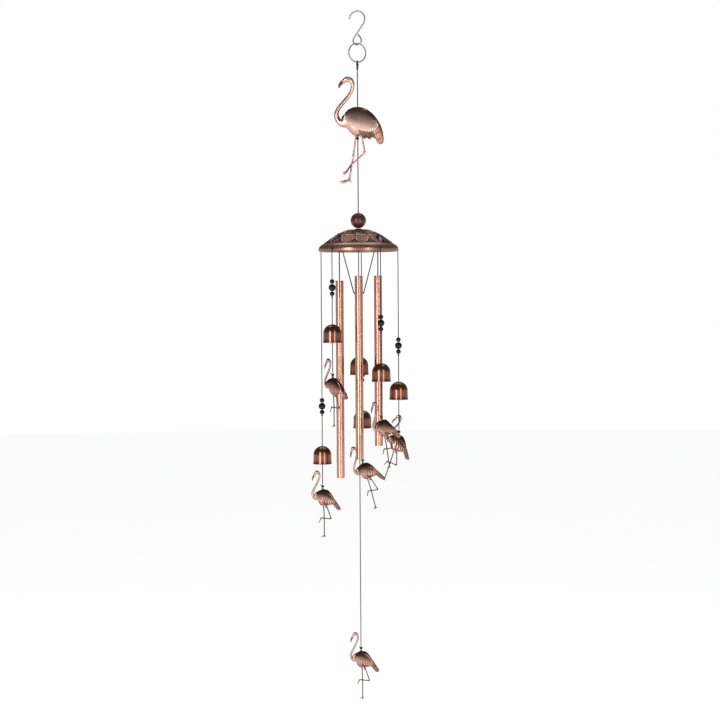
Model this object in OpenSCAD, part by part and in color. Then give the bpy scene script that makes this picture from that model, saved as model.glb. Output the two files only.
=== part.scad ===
// Hanging wind chime with flamingos: S-hook, ring, embossed canopy, four tubes,
// five strings of beads, bells and flamingos, and a centre striker with a wind sail.
// Millimetres, +Z up, +Y to the back. The origin is the inside crest of the S-hook,
// where the support carries the chime, and everything else hangs below it.

/* [S-hook and ring] */
// Wire thickness of the S-hook
hook_wire = 1.8; // [1.6:0.1:2.1]
// Radius of the open top of the hook, to the middle of the wire
hook_r = 10.1; // [9.5:0.1:11]
// Radius of the closed lower eye, to the middle of the wire
eye_r = 5.4; // [5.2:0.1:6]
// Distance from the middle of the open top to the middle of the eye
hook_span = 26.4; // [25:0.1:29]
// Radius of the hanging ring, to the middle of the wire
ring_r = 11.6; // [11:0.1:13]
// Wire thickness of the hanging ring
ring_wire = 1.6; // [1.4:0.1:1.7]

/* [Cords] */
// Thickness of the hanging cord
main_cord_d = 1.4; // [1.2:0.1:1.6]
// Thickness of the slings, the bell strings and the clapper cord
string_d = 1.2; // [1:0.1:1.3]

/* [Canopy] */
// Distance from the hook's crest down to the canopy's rim
canopy_drop = 298; // [290:1:320]
// Diameter of the canopy
canopy_d = 100; // [98:1:104]
// Height of the canopy
canopy_h = 27.5; // [26:0.5:30]
// Thickness of the canopy's sheet
canopy_wall = 1; // [0.8:0.1:1.2]
// Diameter of the ball above the canopy
ball_d = 19.4; // [18:0.2:20]

/* [Tubes] */
// Outer diameter of the tubes
tube_d = 10; // [9:0.5:10.5]
// Wall thickness of the tubes
tube_wall = 0.7; // [0.6:0.1:1]
// Distance from the axis of the chime to the axis of a tube
tube_pitch_r = 24; // [23:0.5:25]
// Lengths of the front, right, back and left tubes
tube_lengths = [196, 213, 232, 247]; // [190:1:250]
// Drop from the rim to the cross holes of the front, right, back and left tubes
sling_drops = [53, 52, 52, 58]; // [48:1:60]
// Distance from a tube's top end to its cross hole
cross_hole_in = 22; // [18:1:24]

/* [Bells and beads] */
// Diameter of a bell at its mouth
bell_d = 24; // [22:0.5:25]
// Height of a bell
bell_h = 23; // [21:0.5:24]
// Wall thickness of a bell
bell_wall = 1.1; // [0.9:0.1:1.3]
// Diameter of the middle bead of three
large_bead_d = 8.8; // [8:0.2:9]
// Diameter of the outer beads of three
small_bead_d = 6; // [5:0.2:6.4]

/* [Hidden] */
smooth = 48; // facets of round parts in the preview

// Colours
steel = "silver";
black = "black";
copper = "sienna";
dark_copper = "saddlebrown";
tube_copper = "peru";

// Hook and ring: the two lie in planes turned apart, as linked rings do
hook_yaw = -20;
ring_yaw = 25;
link_gap = 0.1; // clear space between linked wires
hook_mid_z = hook_wire / 2 - hook_r;
eye_mid_z = hook_mid_z - hook_span;
// Angle of the inner tangent that runs from the open top to the eye
tangent_a = 90 - acos((hook_r + eye_r) / hook_span);
ring_mid_z = eye_mid_z - eye_r + (hook_wire + ring_wire) / 2 + link_gap - ring_r;
ring_low_z = ring_mid_z - ring_r;

// Large flamingo, threaded on the hanging cord
large_top_z = -117.5;
large_belly = 37.5; // depth of the belly below the back, along the cord
large_wall = 1;
cord_bore_r = 1.1;

// Canopy
rim_z = -canopy_drop;
canopy_r = canopy_d / 2;
boss_h = 1.2; // raised boss round the centre hole
ball_mid_z = rim_z + canopy_h + boss_h + 0.3 + ball_d / 2;
sling_hole_r = 1.9;
rim_hole_r = 0.9;
rim_hole_up = 4; // height of the rim holes above the rim's edge
string_r = canopy_r + string_d / 2 + 0.3;
hub_z = rim_z + canopy_h - canopy_wall - 3.2;
// Outline of the sheet's outer face, as [radius, height] parts of the canopy's own
canopy_outline = [
  [0.24, 1], [0.28, 0.97], [0.53, 0.79], [0.57, 0.74], [0.82, 0.42],
  [0.89, 0.35], [0.95, 0.29], [0.985, 0.21], [1, 0.11], [1, 0]
];

// Bell strings, counted counter-clockwise from the front left, as seen from above
string_angles = [for (i = [0:4]) 230 + 72 * i];
bead_drops = [45, 89, 118, 155, 194];
bell_drops = [90, 138, 163, 201, 244];
flamingo_drops = [155, 207, 229, 268, 298];
flamingo_yaws = [-40, 32, -8, 4, 0];
flamingo_pitches = [0, -9, 19, -14, 0];
flamingo_rolls = [0, 0, -10, 0, 0]; // the third leans back, so that its neck clears its cord

// Centre string
clapper_drop = 131;
sail_drop = 500;

// Knots
bell_knot_r = 2;
bead_knot_r = 1.3;
tie_knot_r = 2;
tie_knot_up = 2.8; // height of the tie knot's middle above the flamingo's back
joint_gap = 0.3; // clear space where one length of cord bends into the next

// Small flamingo: [x, z, half height, half thickness] from the tail's tip to the beak's
small_shape = [
  [22.4, -27.4, 0.7, 0.5], [18.5, -22, 2, 0.9], [14.3, -17.4, 2.4, 1.3], [11, -15, 5, 2],
  [7, -13.2, 8.4, 2.8], [2.5, -11.6, 10.6, 3.2], [-2, -10.2, 9.4, 2.8], [-6.4, -9.8, 6, 2],
  [-10, -11, 2.9, 1.7], [-12.4, -8.4, 1.7, 1.5], [-12.7, -5, 1.4, 1.3], [-10.9, -0.7, 1.3, 1.2],
  [-7.6, 5.4, 1.25, 1.2], [-5.1, 10.8, 1.2, 1.15], [-4, 15.6, 1.3, 1.2], [-4.8, 19.2, 1.6, 1.4],
  [-7.3, 20.9, 2.1, 1.7], [-9.6, 18.4, 1.5, 1.3], [-11, 15.8, 1.2, 1], [-12.4, 13, 0.9, 0.7],
  [-13, 9.9, 0.4, 0.4]
];
small_legs = [
  [[1.1, -21, 0], [1.8, -37, 0]], [[1.8, -37, 0], [1.8, -60, 0]],
  [[4.3, -21, 0], [10.6, -38.4, 0]], [[10.6, -38.4, 0], [-2.2, -37.2, 0]],
  [[-2.2, -37.2, 0], [-4.7, -43, 0]]
];
small_toes = [[-2, -60.9, 0], [3.6, -61.1, 0], [0.6, -61.1, -2.6]];
small_leg_r = 0.7;
lug_r = 2.2;
lug_hole_r = 0.9;
lug_z = -1.6;

// Large flamingo, in the same form
large_shape = [
  [31.2, -44, 1.8, 0.9], [28.8, -39.5, 4.6, 2], [24, -32.6, 8, 4], [18, -26.6, 11.8, 6.6],
  [10.5, -22, 16, 8.8], [2.5, -19.4, 18.2, 9.5], [-7, -18.2, 15.5, 8.5], [-14.5, -18.4, 9.5, 6],
  [-20.4, -19.6, 5.2, 4], [-25, -15.6, 3.4, 3], [-26.4, -8.9, 2.7, 2.7], [-23.4, -1.7, 2.4, 2.4],
  [-17.4, 5.6, 2.3, 2.3], [-11.2, 12.8, 2.2, 2.2], [-7.1, 20.1, 2.1, 2.1], [-5.9, 26.8, 2.3, 2.3],
  [-8, 32.4, 2.9, 2.6], [-12.9, 34, 3.5, 2.8], [-16.4, 32.2, 2.7, 2.2], [-19.8, 29.8, 2.2, 1.8],
  [-22.2, 26.7, 1.6, 1.3], [-23.3, 23, 0.6, 0.6]
];
// Legs as rods: standing leg behind the cord, bent leg in front of it
standing_leg = [[-1.8, -33, 3], [-5.7, -61.4, 3], [-11, -91, 3]];
bent_leg = [[4, -33, -3], [8.8, -57.5, -3.4], [-8.2, -72.5, -3.4], [-15.4, -82.4, -3.4]];
large_toes = [[-23.3, -93.6, 2], [-20.4, -95.6, -0.6], [-17, -94.6, 6]];
large_leg_r = 1.15;

// Curves and lofts

function unit(v) = v / norm(v);

// Direction of a path of [x, z, ...] stations at station i
function heading(path, i) =
  let (a = path[max(i - 1, 0)], b = path[min(i + 1, len(path) - 1)])
  unit([b[0] - a[0], b[1] - a[1]]);

// Points of the oval section at station i, or of the half of it that is behind the XZ plane
function section(path, i, sides, half) =
  let (d = heading(path, i), s = path[i], turn = (half ? 180 : 360) / sides)
  [for (k = [0:sides - (half ? 0 : 1)]) let (u = s[2] * cos(k * turn))
    [s[0] - d[1] * u, s[3] * sin(k * turn), s[1] + d[0] * u]];

// Solid through the oval or half oval sections of a path that lies in the XZ plane
module loft(path, sides, half = false) {
  rows = len(path);
  n = sides + (half ? 1 : 0);
  points = [for (i = [0:rows - 1]) each section(path, i, sides, half)];
  walls = [for (i = [0:rows - 2], k = [0:n - 1])
    let (a = i * n + k, b = i * n + (k + 1) % n) each [[a, b, a + n], [b, b + n, a + n]]];
  ends = [[for (k = [n - 1:-1:0]) k], [for (k = [0:n - 1]) (rows - 1) * n + k]];
  polyhedron(points, concat(walls, ends));
}

// Straight round bar from one point to another
module rod(a, b, r, facets = smooth) {
  v = b - a;
  translate(a)
    rotate([0, acos(v[2] / norm(v)), atan2(v[1], v[0])])
      cylinder(h = norm(v), r = r, $fn = facets);
}

module ball(r, facets = smooth) {
  sphere(r = r, $fn = facets);
}

// Vertical cord between two heights
module cord_run(top, bottom, d) {
  translate([0, 0, bottom]) cylinder(h = top - bottom, d = d, $fn = smooth / 2);
}

// Hanging gear

// Points of an arc in the XZ plane, as round stations of a loft
function arc_stations(mid_z, r, from, to, steps, wire) =
  [for (k = [0:steps]) let (t = from + (to - from) * k / steps)
    [r * cos(t), mid_z + r * sin(t), wire / 2, wire / 2]];

// One length of wire: open top, shank, then the eye, whose end closes on the shank
module s_hook() {
  eye_end = [eye_r * cos(tangent_a), eye_mid_z + eye_r * sin(tangent_a)];
  cross = [0, eye_mid_z + eye_r / sin(tangent_a)];
  stop = cross + unit(eye_end - cross) * (hook_wire + link_gap) / sin(2 * tangent_a);
  path = concat(
    arc_stations(hook_mid_z, hook_r, 176, -tangent_a, 20, hook_wire),
    arc_stations(eye_mid_z, eye_r, 180 - tangent_a, 360 + tangent_a, 22, hook_wire),
    [[stop[0], stop[1], hook_wire / 2, hook_wire / 2]]);
  color(steel) rotate([0, 0, hook_yaw]) loft(path, 12);
}

module hanging_ring() {
  color(steel) translate([0, 0, ring_mid_z]) rotate([0, 0, ring_yaw])
    rotate([90, 0, 0]) rotate_extrude($fn = 2 * smooth)
      translate([ring_r, 0]) circle(d = ring_wire, $fn = smooth);
}

// Small upright loop of cord with a wire or a lug through it
module cord_loop(r, d) {
  rotate([0, 90, 0]) rotate_extrude($fn = smooth) translate([r, 0]) circle(d = d, $fn = smooth / 2);
}

// The whole hanging cord: loop and knot on the ring, run to the ball, knot under the flamingo
module hanging_cord() {
  loop_r = (ring_wire + main_cord_d) / 2 + link_gap;
  knot_z = ring_low_z - loop_r - 1.4;
  color(black) {
    translate([0, 0, ring_low_z]) rotate([0, 0, ring_yaw]) cord_loop(loop_r, main_cord_d);
    translate([0, 0, knot_z]) ball(1.8);
    cord_run(knot_z, knot_z - 6.5, main_cord_d + 1);
    cord_run(knot_z, ball_mid_z, main_cord_d);
    translate([0, 0, large_top_z - large_belly - 2.2]) ball(2);
  }
}

// Pressed half of the large flamingo, hollow in the body and grooved for the cord
module large_half() {
  body = [for (i = [1:8]) let (s = large_shape[i]) [s[0], s[1], s[2] - large_wall, s[3] - large_wall + 1]];
  color(copper) translate([0, 0, large_top_z]) difference() {
    loft(large_shape, 12, true);
    translate([0, -1, 0]) loft(body, 11, true);
    translate([0, 0, -60]) cylinder(h = 80, r = cord_bore_r, $fn = 10);
  }
}

module large_flamingo_front() {
  mirror([0, 1, 0]) large_half();
}

module large_flamingo_back() {
  large_half();
}

// Point of a leg list, held as [x, z, y], turned to [x, y, z]
function leg_point(p) = [p[0], p[2], p[1]];

module leg(points, r) {
  for (i = [0:len(points) - 2]) {
    rod(leg_point(points[i]), leg_point(points[i + 1]), r);
    if (i > 0) translate(leg_point(points[i])) ball(r * 1.3);
  }
}

module large_flamingo_legs() {
  color(dark_copper) translate([0, 0, large_top_z]) {
    ankle = standing_leg[len(standing_leg) - 1];
    leg(standing_leg, large_leg_r);
    translate(leg_point(ankle)) ball(large_leg_r * 1.3);
    for (toe = large_toes) rod(leg_point(ankle), leg_point(toe), large_leg_r * 0.8);
    leg(bent_leg, large_leg_r);
  }
}

// Canopy

module top_ball() {
  color(dark_copper) translate([0, 0, ball_mid_z]) difference() {
    sphere(d = ball_d, $fn = 2 * smooth);
    cylinder(h = ball_d + 2, r = main_cord_d / 2 + 0.4, center = true, $fn = smooth);
  }
}

// Height of the canopy's outer face at a radius
function canopy_face(r) = canopy_h * lookup(r / canopy_r, canopy_outline);

module canopy() {
  outer = [for (p = canopy_outline) [p[0] * canopy_r, p[1] * canopy_h]];
  last = len(outer) - 1;
  inner = [for (i = [last:-1:0])
    [outer[i][0] - canopy_wall, i == last ? 0 : outer[i][1] - canopy_wall]];
  bore = main_cord_d / 2 + 0.8;
  boss = [[bore, canopy_h - canopy_wall], [bore, canopy_h + boss_h], [4, canopy_h + boss_h],
    [4.8, canopy_h]];
  color(copper) translate([0, 0, rim_z]) difference() {
    rotate_extrude($fn = 2 * smooth) polygon(concat(boss, outer, inner));
    for (x = [-1, 1], y = [-1, 1])
      translate([x * tube_pitch_r, y * tube_pitch_r, 0])
        cylinder(h = canopy_h, r = sling_hole_r, $fn = smooth);
    for (a = string_angles)
      rotate([0, 0, a]) translate([canopy_r - 5, 0, rim_hole_up]) rotate([0, 90, 0])
        cylinder(h = 10, r = rim_hole_r, $fn = smooth);
  }
}

// Knot that carries the canopy from below, on the last of the hanging cord
module hub_knot() {
  color(black) {
    cord_run(rim_z + canopy_h + boss_h, hub_z, main_cord_d);
    translate([0, 0, hub_z]) ball(3);
  }
}

// Four knots on the dome's holes, each with the stub that the two slings leave
module sling_knots() {
  top = rim_z + canopy_face(norm([tube_pitch_r, tube_pitch_r]));
  color(black) for (x = [-1, 1], y = [-1, 1])
    translate([x * tube_pitch_r, y * tube_pitch_r, 0]) {
      translate([0, 0, top + 2.4]) ball(2.6);
      cord_run(top + 1, top - 3.2, 2.8);
    }
}

// Five knots inside the rim, each with the stub that its string leaves
module rim_knots() {
  color(black) for (a = string_angles)
    rotate([0, 0, a]) translate([0, 0, rim_z + rim_hole_up]) {
      translate([canopy_r - canopy_wall - 2.8, 0, 0]) ball(1.7);
      rod([canopy_r - canopy_wall - 2.8, 0, 0], [canopy_r, 0, 0], string_d / 2);
    }
}

// Tubes on their slings, 0 front, 1 right, 2 back, 3 left

function tube_angle(i) = 270 + 90 * i;

module tube(i) {
  top = rim_z - sling_drops[i] + cross_hole_in;
  color(tube_copper) rotate([0, 0, tube_angle(i)]) translate([tube_pitch_r, 0, top - tube_lengths[i]])
    difference() {
      cylinder(h = tube_lengths[i], d = tube_d, $fn = smooth);
      translate([0, 0, -1]) cylinder(h = tube_lengths[i] + 2, d = tube_d - 2 * tube_wall, $fn = smooth);
      translate([0, 0, tube_lengths[i] - cross_hole_in]) rotate([90, 0, 0])
        cylinder(h = tube_d + 2, r = string_d / 2 + 0.4, center = true, $fn = smooth);
    }
}

// V of cord from one canopy hole, through the tube, to the next canopy hole
module sling(i) {
  top = rim_z + canopy_face(norm([tube_pitch_r, tube_pitch_r])) - 3.9;
  low = rim_z - sling_drops[i] + 0.2;
  hole = tube_pitch_r - 1;
  bend = tube_d / 2 + 1;
  half = string_d / 2;
  path = [[hole, top, half, half], [bend + 0.3, low + 1.2, half, half], [bend - 0.8, low, half, half],
    [0.8 - bend, low, half, half], [-bend - 0.3, low + 1.2, half, half], [-hole, top, half, half]];
  color(black) rotate([0, 0, tube_angle(i) + 90]) translate([0, -tube_pitch_r, 0])
    loft(path, 8);
}

module tube_front() {
  tube(0);
}

module tube_right() {
  tube(1);
}

module tube_back() {
  tube(2);
}

module tube_left() {
  tube(3);
}

// Bells and beads

// Bell about its own mouth: straight flared skirt under a round crown
module bell() {
  crown_r = bell_d / 2 - 0.6;
  skirt = bell_h - crown_r;
  hole = string_d / 2 + 0.8;
  steps = 6;
  // The crown's arc, from the hole's edge down to the skirt, at a given inset
  function arc(inset) =
    let (r = crown_r - inset, first = acos(hole / r))
    [for (k = [0:steps]) let (t = first * (1 - k / steps)) [r * cos(t), skirt + r * sin(t)]];
  outer = concat(arc(0), [[bell_d / 2 - 0.3, 1.6], [bell_d / 2, 0]]);
  inner = concat(arc(bell_wall), [[bell_d / 2 - bell_wall - 0.2, 0]]);
  reverse_inner = [for (k = [len(inner) - 1:-1:0]) inner[k]];
  color(dark_copper) rotate_extrude($fn = smooth) polygon(concat(outer, reverse_inner));
}

// Moves a bell so that its crown is at the given drop below the rim
module hang_bell(drop) {
  translate([0, 0, rim_z - drop - bell_h]) bell();
}

// Height of the middle of the knot under a bell's crown
function bell_knot_z(drop) = rim_z - drop - bell_wall - bell_knot_r - 0.25;

module at_string(i) {
  a = string_angles[i];
  translate([string_r * cos(a), string_r * sin(a), 0]) children();
}

module beads(i) {
  step = (large_bead_d + small_bead_d) / 2 + 0.1;
  color(black) at_string(i) translate([0, 0, rim_z - bead_drops[i]])
    for (k = [-1:1]) translate([0, 0, k * step]) difference() {
      ball((k == 0 ? large_bead_d : small_bead_d) / 2);
      cylinder(h = 12, r = string_d / 2 + 0.15, center = true, $fn = smooth);
    }
}

// One string: from its rim hole, through the beads and the bell, to the flamingo's tie
module string_cord(i) {
  beads_low = rim_z - bead_drops[i] - large_bead_d / 2 - small_bead_d - 0.2;
  color(black) at_string(i) {
    cord_run(rim_z + rim_hole_up, tie_top(rim_z - flamingo_drops[i]) + joint_gap, string_d);
    translate([0, 0, beads_low - bead_knot_r]) ball(bead_knot_r);
    translate([0, 0, bell_knot_z(bell_drops[i])]) ball(bell_knot_r);
  }
}

module bell_on_string(i) {
  at_string(i) hang_bell(bell_drops[i]);
}

// Small flamingos: the origin is the top of the back, on the line of the cord

function tie_top(z) = z + tie_knot_up + tie_knot_r;

module flamingo(yaw, pitch, roll) {
  ankle = leg_point(small_legs[1][1]);
  color(copper) rotate([roll, pitch, yaw]) difference() {
    union() {
      loft(small_shape, 10);
      translate([0, 0, lug_z]) rotate([90, 0, 0]) cylinder(h = 1.6, r = lug_r, center = true, $fn = 24);
      for (l = small_legs) {
        rod(leg_point(l[0]), leg_point(l[1]), small_leg_r, 10);
        translate(leg_point(l[1])) ball(small_leg_r * 1.35, 10);
      }
      for (toe = small_toes) rod(ankle, leg_point(toe), small_leg_r * 0.9, 8);
    }
    translate([0, 0, lug_z]) rotate([90, 0, 0]) cylinder(h = 12, r = lug_hole_r, center = true, $fn = 24);
  }
}

// Knot and loop that tie a flamingo's lug to its cord
module tie(yaw) {
  loop_r = (tie_knot_up - lug_z) / 2;
  color(black) {
    translate([0, 0, tie_knot_up]) ball(tie_knot_r);
    rotate([0, 0, yaw]) translate([0, 0, lug_z + loop_r]) cord_loop(loop_r, string_d);
  }
}

module at_flamingo(i) {
  at_string(i) translate([0, 0, rim_z - flamingo_drops[i]]) children();
}

module hung_flamingo(i) {
  at_flamingo(i) flamingo(flamingo_yaws[i], flamingo_pitches[i], flamingo_rolls[i]);
}

module hung_tie(i) {
  at_flamingo(i) tie(flamingo_yaws[i]);
}

// Centre string

// Upper length, from the hub to the knot that carries the striker
module clapper_cord() {
  color(black) {
    cord_run(hub_z - 3 - joint_gap, bell_knot_z(clapper_drop), string_d);
    translate([0, 0, bell_knot_z(clapper_drop)]) ball(bell_knot_r);
  }
}

module striker_bell() {
  hang_bell(clapper_drop);
}

// Lower length, from the striker's knot to the sail's tie
module sail_cord() {
  color(black) cord_run(bell_knot_z(clapper_drop) - bell_knot_r - joint_gap,
    tie_top(rim_z - sail_drop) + joint_gap, string_d);
}

module sail_tie() {
  translate([0, 0, rim_z - sail_drop]) tie(0);
}

module sail_flamingo() {
  translate([0, 0, rim_z - sail_drop]) flamingo(0, 0, 0);
}

s_hook();
hanging_ring();
hanging_cord();
large_flamingo_front();
large_flamingo_back();
large_flamingo_legs();
top_ball();
canopy();
hub_knot();
sling_knots();
rim_knots();
tube_front();
tube_right();
tube_back();
tube_left();
sling(0);  // sling_front
sling(1);  // sling_right
sling(2);  // sling_back
sling(3);  // sling_left
string_cord(0);  // string_cord_a
string_cord(1);  // string_cord_b
string_cord(2);  // string_cord_c
string_cord(3);  // string_cord_d
string_cord(4);  // string_cord_e
beads(0);  // beads_a
beads(1);  // beads_b
beads(2);  // beads_c
beads(3);  // beads_d
beads(4);  // beads_e
bell_on_string(0);  // bell_a
bell_on_string(1);  // bell_b
bell_on_string(2);  // bell_c
bell_on_string(3);  // bell_d
bell_on_string(4);  // bell_e
hung_tie(0);  // tie_a
hung_tie(1);  // tie_b
hung_tie(2);  // tie_c
hung_tie(3);  // tie_d
hung_tie(4);  // tie_e
hung_flamingo(0);  // flamingo_a
hung_flamingo(1);  // flamingo_b
hung_flamingo(2);  // flamingo_c
hung_flamingo(3);  // flamingo_d
hung_flamingo(4);  // flamingo_e
clapper_cord();
striker_bell();
sail_cord();
sail_tie();
sail_flamingo();
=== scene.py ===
"""Looks of a hanging wind chime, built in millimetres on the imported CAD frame."""
import math

import bmesh
import bpy
import numpy as np
from mathutils import Matrix, Vector


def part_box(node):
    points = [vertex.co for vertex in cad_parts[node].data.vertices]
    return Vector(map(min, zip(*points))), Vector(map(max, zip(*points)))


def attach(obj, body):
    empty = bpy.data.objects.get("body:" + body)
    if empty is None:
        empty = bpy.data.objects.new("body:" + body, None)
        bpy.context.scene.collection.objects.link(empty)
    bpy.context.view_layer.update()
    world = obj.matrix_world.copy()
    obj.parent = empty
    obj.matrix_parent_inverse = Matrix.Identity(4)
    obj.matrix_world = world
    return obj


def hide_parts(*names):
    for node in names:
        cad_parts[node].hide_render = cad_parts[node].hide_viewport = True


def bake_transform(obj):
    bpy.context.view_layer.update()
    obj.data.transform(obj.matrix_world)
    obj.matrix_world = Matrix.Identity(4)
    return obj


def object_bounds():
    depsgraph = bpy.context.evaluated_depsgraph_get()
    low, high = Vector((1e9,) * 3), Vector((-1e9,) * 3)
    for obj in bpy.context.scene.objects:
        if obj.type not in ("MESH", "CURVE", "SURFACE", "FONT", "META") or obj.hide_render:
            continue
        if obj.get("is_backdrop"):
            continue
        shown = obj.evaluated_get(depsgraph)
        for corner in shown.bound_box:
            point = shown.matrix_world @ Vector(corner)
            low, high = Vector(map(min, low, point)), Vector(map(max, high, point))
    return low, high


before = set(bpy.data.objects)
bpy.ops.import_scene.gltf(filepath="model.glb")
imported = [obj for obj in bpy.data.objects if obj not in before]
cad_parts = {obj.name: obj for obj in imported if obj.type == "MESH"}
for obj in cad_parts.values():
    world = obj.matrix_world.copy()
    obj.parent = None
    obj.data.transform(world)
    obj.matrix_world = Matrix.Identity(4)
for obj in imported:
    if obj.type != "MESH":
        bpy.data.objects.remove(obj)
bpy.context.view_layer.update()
MM = 0.001
TAU = 2 * math.pi
KEYS = "abcde"


def mid(node):
    """Middle of a CAD node's box, in millimetres."""
    low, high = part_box(node)
    return (low + high) / 2 / MM


def top(node):
    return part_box(node)[1].z / MM


def bottom(node):
    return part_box(node)[0].z / MM


# Camera and light

RIM_Z = bottom("canopy")
FRAME_SPAN = 0.9  # metres across the picture at the chime's axis
CAMERA_AWAY = 2.5
CAMERA_HEIGHT = -0.36
CAMERA_ROLL = math.radians(-0.36)
SENSOR = 36
AIM = Vector((0.001, 0, -0.4334))


def look_along(obj, place, target):
    """Puts a camera or a light at a place, turned to the target."""
    bpy.context.collection.objects.link(obj)
    obj.location = place
    obj.rotation_mode = "QUATERNION"
    obj.rotation_quaternion = (Vector(target) - Vector(place)).to_track_quat("-Z", "Y")


camera_data = bpy.data.cameras.new("camera")
camera_data.lens = SENSOR * CAMERA_AWAY / FRAME_SPAN
camera = bpy.data.objects.new("camera", camera_data)
look_along(camera, (AIM.x, -CAMERA_AWAY, CAMERA_HEIGHT), AIM)
camera.rotation_quaternion @= Matrix.Rotation(CAMERA_ROLL, 4, "Z").to_quaternion()
bpy.context.scene.camera = camera


def area_light(name, place, size, power, target):
    light = bpy.data.lights.new(name, "AREA")
    light.shape = "RECTANGLE"
    light.size, light.size_y = size
    light.energy = power
    look_along(bpy.data.objects.new(name, light), place, target)


area_light("left_softbox", (-1.15, -2.0, -0.35), (0.4, 2.4), 25, (0, 0, -0.4))
area_light("right_softbox", (1.05, -2.0, -0.35), (0.3, 2.4), 11, (0, 0, -0.4))
area_light("top_softbox", (0, 0.7, 1.5), (1.8, 1.2), 7, (0, 0, -0.3))


class Nodes:
    """A node tree whose nodes are made one call at a time."""

    def __init__(self, tree):
        self.tree = tree

    def feed(self, socket, value):
        """Links an output to a socket, or sets the socket's value."""
        if hasattr(value, "is_output"):
            self.tree.links.new(value, socket)
        else:
            socket.default_value = value

    def node(self, kind, *values, **inputs):
        n = self.tree.nodes.new("ShaderNode" + kind)
        for i, value in enumerate(values):
            self.feed(n.inputs[i], value)
        for key, value in inputs.items():
            self.feed(n.inputs[key.replace("_", " ")], value)
        return n

    def ramp(self, value, *stops):
        """Colours along a value; the first two stops are its ends."""
        n = self.node("ValToRGB", value)
        elements = n.color_ramp.elements
        for i, (place, colour) in enumerate(stops):
            e = elements[i] if i < 2 else elements.new(place)
            e.position, e.color = place, (*colour, 1)
        return n.outputs[0]

    def noise(self, scale, detail=3.0, stretch=(1, 1, 1)):
        coord = self.node("TexCoord").outputs["Object"]
        vector = self.node("Mapping", Vector=coord, Scale=stretch).outputs[0]
        return self.node("TexNoise", Vector=vector, Scale=scale, Detail=detail, Roughness=0.55).outputs["Fac"]

    def spread(self, value, low, high):
        return self.node("MapRange", Value=value, To_Min=low, To_Max=high).outputs[0]

    def mix(self, a, b, share):
        n = self.tree.nodes.new("ShaderNodeMix")
        n.data_type = "RGBA"
        for i, value in ((0, share), (6, a), (7, b)):
            self.feed(n.inputs[i], value)
        return n.outputs[2]


def grey(value):
    return (value, value, value)


def light_world():
    """White to the camera, and a grey gradient from floor to ceiling for light and reflections."""
    world = bpy.data.worlds.new("studio")
    bpy.context.scene.world = world
    world.use_nodes = True
    world.node_tree.nodes.clear()
    sky = Nodes(world.node_tree)
    direction = sky.node("SeparateXYZ", sky.node("TexCoord").outputs["Generated"])
    height = sky.node("MapRange", Value=direction.outputs["Z"], From_Min=-1, From_Max=1).outputs[0]
    graded = sky.ramp(height, (0, grey(0.34)), (1, (0.1, 0.1, 0.105)), (0.4, grey(0.62)), (0.515, grey(0.5)),
                      (0.6, grey(0.12)))
    seen = sky.node("Background", (1, 1, 1, 1)).outputs[0]
    lit = sky.node("Background", graded).outputs[0]
    mixed = sky.node("MixShader", sky.node("LightPath").outputs["Is Camera Ray"], lit, seen)
    sky.node("OutputWorld", mixed.outputs[0])


light_world()
bpy.context.scene.view_settings.view_transform = "Standard"


# Materials


class Shade(Nodes):
    """A Principled material."""

    def __init__(self, name, **values):
        self.material = bpy.data.materials.new(name)
        self.material.use_nodes = True
        super().__init__(self.material.node_tree)
        self.shader = self.tree.nodes["Principled BSDF"]
        for key, value in values.items():
            self.shader.inputs[key.replace("_", " ")].default_value = value

    def finish(self, colour, roughness, height, depth, strength):
        """Links colour, roughness and bump, and gives the material."""
        self.tree.links.new(colour, self.shader.inputs["Base Color"])
        self.tree.links.new(roughness, self.shader.inputs["Roughness"])
        bump = self.node("Bump", Height=height, Distance=depth, Strength=strength)
        self.tree.links.new(bump.outputs[0], self.shader.inputs["Normal"])
        return self.material


def antique(name, recess_and_shade, body, edge, rough, shine):
    """Copper whose recesses are dark and whose raised edges are bright with wear, from a per-vertex attribute
    that also carries painted shade and painted highlights.
    """
    s = Shade(name, Metallic=1.0, Coat_Weight=shine, Coat_Roughness=0.25)
    cloud = s.noise(90, 4)
    speck = s.noise(900, 2)
    relief = s.tree.nodes.new("ShaderNodeAttribute")
    relief.attribute_name = "relief"
    wear_and_light_mottled = s.node("Math", relief.outputs["Fac"], s.spread(cloud, -0.06, 0.06))
    # The low stops colour patina in recesses and painted shade alike; the high stops colour edges bright with
    # wear and painted highlights alike.
    rubbed_and_highlit = tuple(0.55 * a + 0.45 * b for a, b in zip(body, edge))
    colour = s.ramp(wear_and_light_mottled.outputs[0], (0.12, recess_and_shade), (1.0, edge), (0.5, body), (0.72, rubbed_and_highlit))
    dusty = s.mix(colour, (*recess_and_shade, 1), s.spread(speck, 0.0, 0.12))
    return s.finish(dusty, s.spread(cloud, rough - 0.06, rough + 0.1), speck, 0.00004, 0.25)


CANOPY = antique("antique_canopy_painted_shade", (0.06, 0.037, 0.03), (0.50, 0.25, 0.18), (1.0, 0.70, 0.58), 0.3, 0.15)
BIRD = antique("antique_bird_painted_light", (0.035, 0.02, 0.016), (0.62, 0.34, 0.26), (0.90, 0.62, 0.51), 0.26, 0.1)
CHARM = antique("antique_charm_painted_light", (0.03, 0.02, 0.017), (0.33, 0.16, 0.115), (0.85, 0.55, 0.45), 0.2, 0.1)
BEAK = antique("blackened_copper", (0.02, 0.016, 0.015), (0.09, 0.06, 0.052), (0.3, 0.2, 0.17), 0.34, 0.1)


def bell_copper():
    s = Shade("bell_copper", Metallic=1.0, Coat_Weight=0.35, Coat_Roughness=0.16)
    cloud = s.noise(140, 5)
    turned = s.noise(40, 3, (1, 1, 60))
    cloudy = s.ramp(cloud, (0.3, (0.28, 0.115, 0.074)), (0.72, (0.36, 0.155, 0.102)))
    lines = s.ramp(turned, (0.3, (0.25, 0.10, 0.066)), (0.7, (0.38, 0.165, 0.112)))
    return s.finish(s.mix(cloudy, lines, 0.3), s.spread(cloud, 0.2, 0.25), turned, 0.00002, 0.08)


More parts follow.
